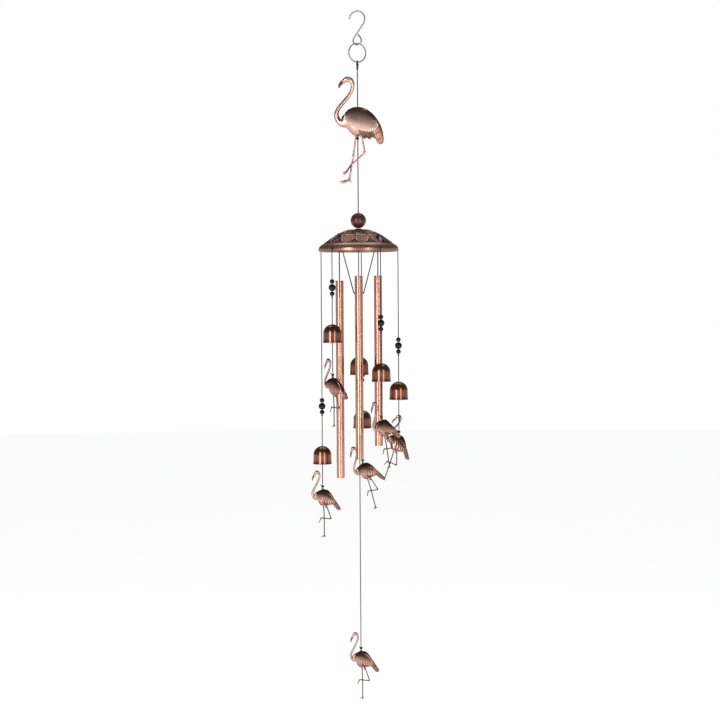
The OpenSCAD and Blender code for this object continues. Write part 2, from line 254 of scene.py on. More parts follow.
def tube_anodised():
    s = Shade("tube_anodised", Metallic=1.0)
    drawn = s.noise(260, 2, (1, 1, 0.004))
    cloud = s.noise(30, 3)
    tones = ((0.3, (0.60, 0.30, 0.215)), (0.7, (0.67, 0.36, 0.265)))
    colour = s.mix(s.ramp(drawn, *tones), s.ramp(cloud, *tones), 0.5)
    return s.finish(colour, s.spread(drawn, 0.2, 0.23), drawn, 0.000004, 0.05)


def steel_wire():
    s = Shade("steel_wire", Metallic=1.0)
    drawn = s.noise(1200, 3)
    colour = s.ramp(drawn, (0.3, (0.2, 0.2, 0.21)), (0.7, (0.36, 0.36, 0.37)))
    return s.finish(colour, s.spread(drawn, 0.24, 0.4), drawn, 0.00002, 0.3)


def ball_brown():
    s = Shade("ball_brown", Coat_Weight=0.15, Coat_Roughness=0.12)
    grain = s.noise(160, 5, (1, 1, 0.22))
    streaks = s.ramp(grain, (0.3, (0.05, 0.012, 0.005)), (0.7, (0.11, 0.03, 0.012)))
    cloudy = s.ramp(s.noise(60, 3), (0.3, (0.06, 0.015, 0.006)), (0.7, (0.10, 0.026, 0.011)))
    return s.finish(s.mix(streaks, cloudy, 0.4), s.spread(grain, 0.22, 0.34), grain, 0.00003, 0.12)


def bead_black():
    s = Shade("bead_black", Specular_IOR_Level=0.3)
    cloud = s.noise(300, 3)
    colour = s.ramp(cloud, (0.3, (0.003, 0.003, 0.0035)), (0.75, (0.009, 0.008, 0.009)))
    return s.finish(colour, s.spread(cloud, 0.07, 0.13), cloud, 0.00003, 0.15)


def cord_waxed():
    s = Shade("cord_waxed", Sheen_Weight=0.05, Sheen_Roughness=0.4)
    fibre = s.noise(2600, 3, (1, 1, 0.35))
    colour = s.ramp(fibre, (0.3, (0.004, 0.004, 0.005)), (0.7, (0.02, 0.02, 0.023)))
    return s.finish(colour, s.spread(fibre, 0.42, 0.62), fibre, 0.00006, 0.5)


def floor_pale():
    s = Shade("floor_pale", Roughness=0.8, Emission_Color=(1, 1, 1, 1), Emission_Strength=0.86)
    colour = s.ramp(s.noise(3, 2), (0.3, grey(0.80)), (0.7, grey(0.84)))
    s.tree.links.new(colour, s.shader.inputs["Base Color"])
    return s.material


BELL, TUBE, STEEL, BALL = bell_copper(), tube_anodised(), steel_wire(), ball_brown()
BEAD, CORD, FLOOR = bead_black(), cord_waxed(), floor_pale()


# Mesh building, in millimetres


def up(height):
    return Vector((0, 0, height))


def circle(count, centre, first, second):
    """Points of a circle or an ellipse from its two half axes."""
    turns = [TAU * k / count for k in range(count)]
    return [centre + first * math.cos(t) + second * math.sin(t) for t in turns]


def level(radius, z, count, x=0, y=0):
    """A level circle."""
    return circle(count, Vector((x, y, z)), Vector((radius, 0, 0)), Vector((0, radius, 0)))


def heading(angle):
    return Vector((math.cos(angle), math.sin(angle), 0))


class Build:
    """Vertices and faces of one piece, with a level at each vertex: 0 in recesses, 1 on a raised edge;
    painted shade lowers it and painted highlights raise it.
    """

    def __init__(self):
        self.points, self.faces, self.relief, self.slots = [], [], [], []

    def add(self, points, faces, relief=0.5, slot=0):
        base = len(self.points)
        self.points += [Vector(p) for p in points]
        self.relief += list(relief) if hasattr(relief, "__len__") else [relief] * len(points)
        self.faces += [tuple(base + i for i in f) for f in faces]
        self.slots += [slot] * len(faces)

    def rows(self, rows, relief=0.5, slot=0, caps=True, around=True, ends=False):
        """Skin over rings of points; ends joins the last ring to the first."""
        n, m = len(rows[0]), len(rows)
        faces = []
        for i in range(m if ends else m - 1):
            a, b = i * n, (i + 1) % m * n
            for k in range(n if around else n - 1):
                j = (k + 1) % n
                faces.append((a + k, a + j, b + j, b + k))
        points = [p for row in rows for p in row]
        values = [relief] * len(points) if not hasattr(relief, "__len__") else list(relief)
        if caps and not ends:
            for start, flip in ((0, True), ((m - 1) * n, False)):
                centre = sum((Vector(p) for p in points[start:start + n]), Vector()) / n
                points.append(centre)
                values.append(values[start])
                c = len(points) - 1
                for k in range(n):
                    j = (k + 1) % n
                    faces.append((start + j, start + k, c) if flip else (start + k, start + j, c))
        self.add(points, faces, values, slot)

    def piece(self, name, body, materials, replaces=(), slot=None, place=None, sharp=40):
        mesh = bpy.data.meshes.new(name)
        points = [(place @ p if place else p) * MM for p in self.points]
        mesh.from_pydata(points, [], self.faces)
        for m in materials:
            mesh.materials.append(m)
        mesh.polygons.foreach_set("material_index", self.slots)
        b = bmesh.new()
        b.from_mesh(mesh)
        bmesh.ops.recalc_face_normals(b, faces=b.faces)
        b.to_mesh(mesh)
        b.free()
        layer = mesh.attributes.new("relief", "FLOAT", "POINT")
        layer.data.foreach_set("value", self.relief)
        mesh.shade_smooth()
        if sharp:
            mesh.set_sharp_from_angle(angle=math.radians(sharp))
        obj = bpy.data.objects.new(name, mesh)
        bpy.context.collection.objects.link(obj)
        if body:
            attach(obj, body)
        if replaces:
            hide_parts(*replaces)
        return obj


def catmull(points, per):
    """Points of a smooth curve through the given tuples, per steps in each span."""
    p = [np.array(q, float) for q in points]
    out = []
    for i in range(len(p) - 1):
        b, c = p[i], p[i + 1]
        a = p[i - 1] if i else 2 * b - c
        d = p[i + 2] if i + 2 < len(p) else 2 * c - b
        for k in range(per):
            t = k / per
            out.append(0.5 * (2 * b + (c - a) * t + (2 * a - 5 * b + 4 * c - d) * t * t
                              + (3 * b - a - 3 * c + d) * t ** 3))
    return out + [p[-1]]


def sweep(path, shape, sides, closed=False):
    """Rings round a path; shape(angle, distance along the path) gives the radius."""
    path = [Vector(p) for p in path]
    n = len(path)
    rings, along, side = [], 0.0, None
    for i, p in enumerate(path):
        before = path[(i - 1) % n] if closed or i else p
        after = path[(i + 1) % n] if closed or i < n - 1 else p
        ahead = (after - before).normalized()
        if side is None:
            side = ahead.orthogonal().normalized()
        side = (side - ahead * side.dot(ahead)).normalized()
        lift = ahead.cross(side)
        rings.append([p + (side * math.cos(a) + lift * math.sin(a)) * shape(a, along)
                      for a in (TAU * k / sides for k in range(sides))])
        if i < n - 1:
            along += (path[i + 1] - p).length
    return rings


def rope(radius):
    """Radius of three strands laid round each other."""
    pitch = 5.5 * radius
    return lambda a, s: radius * (0.9 + 0.1 * abs(math.cos(1.5 * (a - TAU * s / pitch))))


def straight(a, b, step):
    a, b = Vector(a), Vector(b)
    n = max(2, round((b - a).length / step))
    return [a.lerp(b, i / n) for i in range(n + 1)]


def rounded(points, radius, steps=6):
    """A path with each corner rounded off."""
    pts = [Vector(p) for p in points]
    out = [pts[0]]
    for a, b, c in zip(pts, pts[1:], pts[2:]):
        r = min(radius, (b - a).length / 2.01, (c - b).length / 2.01)
        s, e = b + (a - b).normalized() * r, b + (c - b).normalized() * r
        for k in range(steps + 1):
            t = k / steps
            out.append(s.lerp(b, t).lerp(b.lerp(e, t), t))
    return out + [pts[-1]]


def resampled(path, step):
    """The same path in even steps."""
    out, spare = [Vector(path[0])], 0.0
    for a, b in zip(path, path[1:]):
        gap = (Vector(b) - Vector(a)).length
        d = step - spare
        while d <= gap:
            out.append(Vector(a).lerp(Vector(b), d / gap))
            d += step
        spare = gap - (d - step)
    if (out[-1] - Vector(path[-1])).length > step / 3:
        out.append(Vector(path[-1]))
    else:
        out[-1] = Vector(path[-1])
    return out


def knot(build, centre, size, wire, turn=0.0):
    """A tight knot: a threefold closed tangle of cord over a small core."""
    path = []
    for t in (TAU * k / 72 for k in range(72)):
        r = (2 + math.cos(3 * t)) / 3
        loop = Vector((r * math.cos(2 * t + turn), r * math.sin(2 * t + turn), 0.8 * math.sin(3 * t)))
        path.append(loop * (size - wire) + Vector(centre))
    build.rows(sweep(path, rope(wire), 10, True), ends=True)
    core = [Vector(centre) + up(z * size) for z in (-0.7, -0.3, 0.3, 0.7)]
    build.rows(sweep(core, lambda a, s: size * 0.45, 10))


def revolve(build, profile, sides, place=(0, 0)):
    """Turns a closed profile of (radius, height) round an upright axis."""
    build.rows([level(r, z, sides, *place) for r, z in profile], caps=False, ends=True)


# Cords

string_spots = {k: mid("string_cord_" + k) for k in KEYS}
MAIN_D, STRING_D = 1.4, 1.2
ROPE_STEP = 0.6
HUNG_YAW = math.radians(25)  # of the hanging ring
TUBE_AWAY = 24
TUBE_CORNERS = [(x, y) for x in (-TUBE_AWAY, TUBE_AWAY) for y in (-TUBE_AWAY, TUBE_AWAY)]
RIM_HOLE_Z = RIM_Z + 4
STRING_ANGLES = [math.radians(230 + 72 * i) for i in range(5)]


def rope_piece(name, path, diameter, body, replaces):
    path = resampled(path, ROPE_STEP)
    b = Build()
    b.rows(sweep(path, rope(diameter / 2), 9))
    obj = b.piece(name, body, [CORD], replaces, "string" if diameter < 1.3 else "main_cord", sharp=None)


def cord_extras(name, body, slot_name, fill, replaces=()):
    b = Build()
    fill(b)
    return b.piece(name, body, [CORD], replaces, slot_name, sharp=None)


RING_LOW = bottom("hanging_ring") + 0.8
BALL_Z = mid("top_ball").z
BIRD_Z = top("large_flamingo_front") - 37.5
BIRD_BELLY = BIRD_Z - 37.5


def main_knots(b):
    """Loop round the ring, its knot and lashing, and the knot under the large flamingo."""
    across = Vector((-math.sin(HUNG_YAW), math.cos(HUNG_YAW), 0))
    b.rows(sweep(circle(36, up(RING_LOW), across * 1.6, up(1.6)), rope(0.7), 10, True), ends=True)
    knot(b, up(RING_LOW - 3.0), 1.9, 0.62, 0.4)
    lashing = [heading(TAU * k / 14) * 0.95 + up(RING_LOW - 3.8 - 5.6 * k / 84) for k in range(85)]
    b.rows(sweep(lashing, lambda a, s: 0.42, 8))
    knot(b, up(BIRD_BELLY - 2.2), 2.0, 0.62, 1.0)


main_extra = cord_extras("hanging_cord_knots", "main_cord", "main_cord", main_knots)
rope_piece("hanging_cord_rope", [(0, 0, RING_LOW - 1.6), (0, 0, BALL_Z)], MAIN_D, "main_cord",
           ["hanging_cord"])
HUB_Z = bottom("hub_knot") + 3


def hub(b):
    knot(b, up(HUB_Z), 3.0, 0.85)
    b.rows(sweep(straight(up(HUB_Z), up(top("hub_knot")), ROPE_STEP), rope(0.7), 10))


cord_extras("hub_knot_tied", "canopy", "main_cord", hub, ["hub_knot"])
KNOT_TOP = top("sling_knots")


def slings(b):
    for x, y in TUBE_CORNERS:
        knot(b, (x, y, KNOT_TOP - 2.6), 2.5, 0.75, x + y / 7)
        for s in (-0.65, 0.65):
            strand = straight((x + s, y, KNOT_TOP - 3), (x + s, y, bottom("sling_knots")), ROPE_STEP)
            b.rows(sweep(strand, rope(STRING_D / 2), 9))


cord_extras("sling_knots_tied", "canopy", "string", slings, ["sling_knots"])


def rims(b):
    for a in STRING_ANGLES:
        tied_at = heading(a) * 46.2 + up(RIM_HOLE_Z)
        knot(b, tied_at, 1.7, 0.55, a)
        b.rows(sweep(straight(tied_at, heading(a) * 49.6 + up(RIM_HOLE_Z), 0.5), rope(STRING_D / 2), 9))


cord_extras("rim_knots_tied", "canopy", "string", rims, ["rim_knots"])

def bell_string(k, out):
    """A string's knots, its rope, and the bend over the rim that joins it to the canopy."""
    p = string_spots[k]
    body, node = "string_" + k, "string_cord_" + k
    start = Vector((p.x, p.y, RIM_Z + 2.6))

    def knots(b):
        knot(b, (p.x, p.y, bottom("beads_" + k) - 1.4), 1.3, 0.42, p.x)
        knot(b, (p.x, p.y, top("bell_" + k) - 3.35), 2.0, 0.62, p.y)

    extra = cord_extras(f"string_{k}_knots", body, "string", knots)
    rope_piece(f"string_{k}_rope", [start, (p.x, p.y, bottom(node))], STRING_D, body, [node])
    bend = [out * 49.4 + up(RIM_HOLE_Z), out * 50.95 + up(RIM_HOLE_Z - 0.1), Vector((p.x, p.y, RIM_Z + 2.4))]
    b = Build()
    b.rows(sweep(resampled(rounded(bend, 1.0), 0.25), rope(STRING_D / 2), 10))
    elbow = b.piece(f"string_{k}_elbow", None, [CORD], (), "string", sharp=None)
    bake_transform(elbow)


for k, a in zip(KEYS, STRING_ANGLES):
    bell_string(k, heading(a))

SIDES = {"front": (0, -1), "right": (1, 0), "back": (0, 1), "left": (-1, 0)}
for side, (nx, ny) in SIDES.items():
    low = bottom("sling_" + side) + 0.6
    high = top("sling_" + side) - 0.15
    across = Vector((-ny, nx, 0))
    middle = Vector((nx, ny, 0)) * TUBE_AWAY
    half = [(23.0, high), (6.3, low + 1.2), (4.6, low)]
    path = [middle + across * u + up(z) for u, z in half]
    path += [middle - across * u + up(z) for u, z in reversed(half)]
    rope_piece(f"sling_{side}_rope", rounded(path, 1.5), STRING_D, "tube_" + side, ["sling_" + side])

CLAPPER_KNOT = bottom("clapper_cord") + 2
clapper_extra = cord_extras("clapper_knot", "clapper", "string",
                            lambda b: knot(b, up(CLAPPER_KNOT), 2.0, 0.62))
rope_piece("clapper_rope", [up(top("clapper_cord")), up(CLAPPER_KNOT)], STRING_D, "clapper",
           ["clapper_cord"])
rope_piece("sail_rope", [up(top("sail_cord")), up(bottom("sail_cord"))], STRING_D, "sail_line",
           ["sail_cord"])

# Hook and ring

HOOK_W, HOOK_R, EYE_R, HOOK_SPAN = 1.8, 10.1, 5.4, 26.4
HOOK_Z = HOOK_W / 2 - HOOK_R
EYE_Z = HOOK_Z - HOOK_SPAN
TANGENT = math.pi / 2 - math.acos((HOOK_R + EYE_R) / HOOK_SPAN)


def hook():
    path = [(HOOK_R * math.cos(t), 0, HOOK_Z + HOOK_R * math.sin(t))
            for t in np.linspace(math.radians(176), -TANGENT, 60)]
    path += [(EYE_R * math.cos(t), 0, EYE_Z + EYE_R * math.sin(t))
             for t in np.linspace(math.pi - TANGENT, TAU + TANGENT, 60)]
    end, cross = Vector(path[-1]), up(EYE_Z + EYE_R / math.sin(TANGENT))
    path.append(cross + (end - cross).normalized() * (HOOK_W + 0.1) / math.sin(2 * TANGENT))
    path = resampled(rounded(path, 0.3, 1), 0.45)
    total = sum((b - a).length for a, b in zip(path, path[1:]))

    def wire(_, along):
        end_in = min(along, total - along)
        return HOOK_W / 2 * (1 if end_in > 0.4 else 0.72 + 0.7 * end_in)

    b = Build()
    b.rows(sweep(path, wire, 20), 0.5)
    turn = Matrix.Rotation(math.radians(-20), 4, "Z")
    b.piece("s_hook_wire", "hook", [STEEL], ["s_hook"], "steel", turn, 50)


def hanging_ring():
    """Wire ring whose two ends nearly meet."""
    wire_r = 0.8
    radius = (top("hanging_ring") - bottom("hanging_ring")) / 2 - wire_r
    gap, gap_at = math.radians(1.2), 2.2
    path = [(radius * math.cos(t), 0, radius * math.sin(t))
            for t in np.linspace(gap_at + gap, gap_at + TAU - gap, 120)]
    far_end = TAU * radius - 0.85
    b = Build()
    b.rows(sweep(path, lambda a, along: wire_r * (1 if 0.35 < along < far_end else 0.86), 18))
    place = Matrix.Translation(mid("hanging_ring")) @ Matrix.Rotation(HUNG_YAW, 4, "Z")
    b.piece("hanging_ring_wire", "ring", [STEEL], ["hanging_ring"], "steel", place, 50)


hook()
hanging_ring()

# Canopy: petals in two tiers, embossed in the sheet

CAN_R, CAN_TOP = 50.0, 27.5
OUTLINE = [(0.0, 1.0), (0.24, 1), (0.28, 0.97), (0.53, 0.79), (0.57, 0.74), (0.82, 0.42), (0.89, 0.35),
           (0.95, 0.29), (0.985, 0.21), (1, 0.11), (1, 0)]  # shares of the radius and of the height
EDGE = [(49.5, 4.9), (49.8, 3.9), (49.95, 3.0), (50.0, 2.2), (50.0, 1.5), (49.98, 0.9), (49.9, 0.5),
        (49.75, 0.2), (49.5, 0.02), (49.2, 0.02), (49.02, 0.25)]
UNDER = [(49.0, 2.6), (48.4, 4.9), (46.5, 7.0), (43.5, 8.6), (40, 10.6), (34, 16.2), (28.5, 19.6),
         (26.5, 20.6), (14, 25.4), (5, 26.4), (1.5, 26.4)]
TIERS = ((12, 0.25, 29.0, 42.6), (10, 0.05, 13.5, 27.4))  # petals, turn, inner and outer radius


def smoothstep(x, low, high):
    t = np.clip((x - low) / (high - low), 0, 1)
    return t * t * (3 - 2 * t)


def ridge(x, place, width):
    """A smooth ridge, 1 high at its place."""
    return np.exp(-((x - place) / width) ** 2)


def petal(r, a, count, turn, r_in, r_out):
    """Raised outline and cushioned inside of a tier of round petals, as (height, relief)."""
    across = ((a * count / TAU + turn) % 1 - 0.5) * TAU * r / count
    width = 0.47 * TAU * (0.62 * r_in + 0.38 * r_out) / count
    round_mid = r_out - width
    inward = np.clip((round_mid - r) / (round_mid - r_in + 1e-6), 0, 1)
    swell = np.where(r < round_mid, 1 - 0.32 * inward ** 1.5, 1.0)
    edge = np.sqrt((across / swell) ** 2 + np.maximum(r - round_mid, 0) ** 2) / width
    rim = ridge(edge, 0.93, 0.085)
    inside = 1 - smoothstep(edge, 0.80, 0.90)
    second = ridge(edge, 0.52, 0.07) * 0.5
    vein = ridge(across, 0, 0.35) * inside * smoothstep(r, r_in, r_in + 3) * (1 - smoothstep(edge, 0.45, 0.6))
    ribs = 0.5 + 0.5 * np.cos(across * TAU / 1.5)
    cushion = inside * (0.12 + 0.3 * np.sqrt(np.clip(1 - edge ** 2, 0, 1)))
    height = 0.75 * rim + cushion + 0.22 * second + 0.2 * vein
    relief = 0.1 + 0.9 * rim + 0.3 * second + 0.3 * vein + inside * (0.1 + 0.12 * ribs)
    return height, np.clip(relief, 0, 1)


def embossing(r, a):
    """Height of the pattern over the sheet and its relief, at each radius and angle."""
    height = np.zeros_like(r)
    relief = np.full_like(r, 0.5)
    for count, turn, r_in, r_out in TIERS:
        petal_height, petal_relief = petal(r, a, count, turn, r_in, r_out)
        zone = smoothstep(r, r_in - 1.0, r_in) * (1 - smoothstep(r, r_out, r_out + 0.6))
        height += petal_height * zone * 1.25
        relief = relief * (1 - zone) + petal_relief * zone
    boss = 1 - smoothstep(r, 4.4, 5.4)
    height += (ridge(r, 10.3, 0.9) * 0.35 + ridge(r, 7.2, 0.6) * 0.2) * (1 - boss)
    flutes = 0.5 + 0.5 * np.cos(a * 20)
    collar = np.clip(0.25 + 0.6 * ridge(r, 10.3, 0.8) + 0.25 * flutes * (r > 5), 0, 1)
    relief = np.where(r < 13.0, collar, relief)
    relief = np.where(r < 5.2, 0.9, relief)
    lip = ridge(r, 28.0, 0.7)
    height += 0.7 * lip
    relief = np.clip(relief + 0.6 * lip, 0, 1)
    band = smoothstep(r, 42.8, 43.8)
    relief = relief * (1 - band) + 0.6 * band
    shoulder = ridge(r, 44.1, 0.5)
    height += 0.18 * shoulder
    return height, np.clip(relief + 0.2 * shoulder, 0, 1)


def canopy_sheet(b):
    """Embossed top, rolled edge and plain underside."""
    segments = 384
    stretches = ((1.5, 4.0, 5), (4.2, 12, 16), (12.3, 26.2, 46), (26.4, 28.6, 12), (28.9, 42, 52),
                 (42.3, 47.5, 16), (47.7, 49.2, 7))
    radii = np.concatenate([np.linspace(*stretch) for stretch in stretches])
    sheet = np.interp(radii / CAN_R, *zip(*OUTLINE)) * CAN_TOP
    boss = 1.2
    bevelled = np.where(radii < 4.6, CAN_TOP + boss * (4.8 - radii) / 0.8, sheet)
    sheet = np.where(radii < 4.0, CAN_TOP + boss, bevelled)
    angles = np.arange(segments) * TAU / segments
    r, a = np.meshgrid(radii, angles, indexing="ij")
    height, relief = embossing(r, a)
    slope = np.gradient(sheet, radii)
    steep = np.sqrt(1 + slope ** 2)
    down = smoothstep(radii, 3.9, 5.5)
    grid = []
    for i, radius in enumerate(radii):
        lift = (height[i] - 0.35) * down[i]
        out = radius - slope[i] / steep[i] * lift
        z = RIM_Z + sheet[i] + lift / steep[i]
        grid.append(list(zip(out * np.cos(angles), out * np.sin(angles), z)))
    grid += [level(radius, RIM_Z + z, segments) for radius, z in EDGE + UNDER]
    values = list(relief.ravel())
    # The lower curl of the rolled edge and the underside are painted darker than the upper curl, as painted
    # shade under the rim.
    for _, z in EDGE:
        values += [0.56 if z > 1.2 else 0.3] * segments
    values += [0.3] * segments * len(UNDER)
    b.rows(grid, values, caps=False, ends=True)


def cut(obj, cutters):
    """Takes the cutters' solids out of a piece."""
    tool = cutters.piece("cutter", None, [obj.data.materials[0]], sharp=None)
    m = obj.modifiers.new("cut", "BOOLEAN")
    m.object, m.operation, m.solver = tool, "DIFFERENCE", "EXACT"
    bpy.context.view_layer.update()
    mesh = bpy.data.meshes.new_from_object(obj.evaluated_get(bpy.context.evaluated_depsgraph_get()))
    obj.modifiers.clear()
    obj.data = mesh
    bpy.data.objects.remove(tool)


def canopy():
    b = Build()
    canopy_sheet(b)
    obj = b.piece("canopy_embossed", "canopy", [CANOPY], ["canopy"], "canopy_copper", sharp=50)
    holes = Build()
    for a in STRING_ANGLES:
        out, side = heading(a), Vector((-math.sin(a), math.cos(a), 0))
        holes.rows([circle(16, out * d + up(RIM_HOLE_Z), side * 0.95, up(0.95)) for d in (45, 54)])
    for x, y in TUBE_CORNERS:
        holes.rows([level(1.9, RIM_Z + z, 20, x, y) for z in (5, 30)])
    cut(obj, holes)


canopy()

# Ball


def turned_ball():
    radius = (top("top_ball") - bottom("top_ball")) / 2
    hole, hole_end = 1.15, 7
    first = math.asin(hole / radius)
    eased = radius * math.cos(first) * 0.985
    profile = [(hole, -hole_end), (hole, -eased)]
    profile += [(radius * math.sin(t), -radius * math.cos(t))
                for t in np.linspace(first * 1.25, math.pi - first * 1.25, 64)]
    profile += [(hole, eased), (hole, hole_end)]
    b = Build()
    revolve(b, [(r, BALL_Z + z) for r, z in profile], 96)
    b.piece("top_ball_turned", "ball", [BALL], ["top_ball"], "ball", sharp=50)


turned_ball()

# Tubes

TUBE_R, TUBE_BORE = 5.0, 4.3
CROSS_HOLE_DOWN, CROSS_HOLE_R = 22, 1.0


def round_normals(mesh, x, y):
    """Makes the wall of a tube shade round beside its cut hole."""
    normals = []
    for poly in mesh.polygons:
        n = poly.normal
        for i in poly.loop_indices:
            v = mesh.vertices[mesh.loops[i].vertex_index].co / MM
            flat = Vector((v.x - x, v.y - y, 0))
            upright = abs(n.z) < 0.05
            if upright and flat.length > TUBE_R - 0.01 and n.dot(flat.normalized()) > 0.9:
                normals.append(flat.normalized())
            elif upright and flat.length < TUBE_BORE + 0.01 and n.dot(flat.normalized()) < -0.9:
                normals.append(-flat.normalized())
            else:
                normals.append(n)
    mesh.normals_split_custom_set(normals)


def chime_tube(side, nx, ny):
    high, low = top("tube_" + side), bottom("tube_" + side)
    hole_z = high - CROSS_HOLE_DOWN
    ease = 0.22
    profile = [(TUBE_BORE, low + ease), (TUBE_BORE + ease, low), (TUBE_R - ease, low), (TUBE_R, low + ease)]
    profile += [(TUBE_R, z) for z in (low + 1, hole_z - 2.5, hole_z + 2.5, high - 1, high - ease)]
    profile += [(TUBE_R - ease, high), (TUBE_BORE + ease, high), (TUBE_BORE, high - ease)]
    profile += [(TUBE_BORE, z) for z in (hole_z + 2.5, hole_z - 2.5)]
    x, y = nx * TUBE_AWAY, ny * TUBE_AWAY
    b = Build()
    revolve(b, profile, 72, (x, y))
    obj = b.piece(f"tube_{side}_drawn", "tube_" + side, [TUBE], ["tube_" + side], "tube", sharp=30)
    middle, out, across = Vector((x, y, hole_z)), Vector((nx, ny, 0)), Vector((-ny, nx, 0))
    hole = Build()
    hole.rows([circle(24, middle + across * d, out * CROSS_HOLE_R, up(CROSS_HOLE_R)) for d in (-8, 8)])
    cut(obj, hole)
    round_normals(obj.data, x, y)


for side, (nx, ny) in SIDES.items():
    chime_tube(side, nx, ny)

# Bells and beads


def bell_piece(name, body, node):
    """Spun dome over a nearly straight skirt with a rolled lip, round the hole for its cord."""
    c, low = mid(node), bottom(node)
    crown, inside, hole = 11.4, 10.3, 1.35
    skirt = low + 11.5
    profile = [(crown * math.cos(t), skirt + crown * math.sin(t))
               for t in np.linspace(math.acos(hole / crown) * 0.985, 0, 30)]
    profile += [(11.42, skirt - 3), (11.46, skirt - 6)]
    lip = ((11.55, 3.4), (11.66, 1.9), (11.86, 1.3), (11.97, 0.9), (12.0, 0.45), (11.9, 0.1), (11.6, 0),
           (11.1, 0.08), (10.9, 0.5), (10.6, 1.6), (10.4, 5))
    profile += [(r, low + z) for r, z in lip]
    profile += [(inside, skirt)]
    profile += [(inside * math.cos(t), skirt + inside * math.sin(t))
                for t in np.linspace(0.1, math.acos(hole / inside), 16)]
    b = Build()
    revolve(b, profile, 96, (c.x, c.y))
    b.piece(name, body, [BELL], [node], "bell_copper", sharp=55)


def bead_piece(k):
    """A large bead between two small ones, each round the string's hole."""
    hole = 0.78
    b = Build()
    for dz, r in ((-7.5, 3.0), (0, 4.4), (7.5, 3.0)):
        z = mid("beads_" + k).z + dz
        first = math.asin(0.8 / r) * 1.3
        profile = [(hole, z - r * 0.9)]
        profile += [(r * math.sin(t), z - r * math.cos(t)) for t in np.linspace(first, math.pi - first, 36)]
        profile += [(hole, z + r * 0.9)]
        revolve(b, profile, 56, (string_spots[k].x, string_spots[k].y))
    b.piece(f"beads_{k}_glossy", "string_" + k, [BEAD], ["beads_" + k], "bead", sharp=55)


for k in KEYS:
    bell_piece(f"bell_{k}_spun", "bell_" + k, "bell_" + k)
bell_piece("striker_spun", "striker", "striker_bell")
for k in KEYS:
    bead_piece(k)

# Flamingos


def along_line(line, share):
    """The point at a share of a line's steps."""
    where = share * (len(line) - 1)
    i = min(int(where), len(line) - 2)
    return line[i] + (line[i + 1] - line[i]) * (where - i)


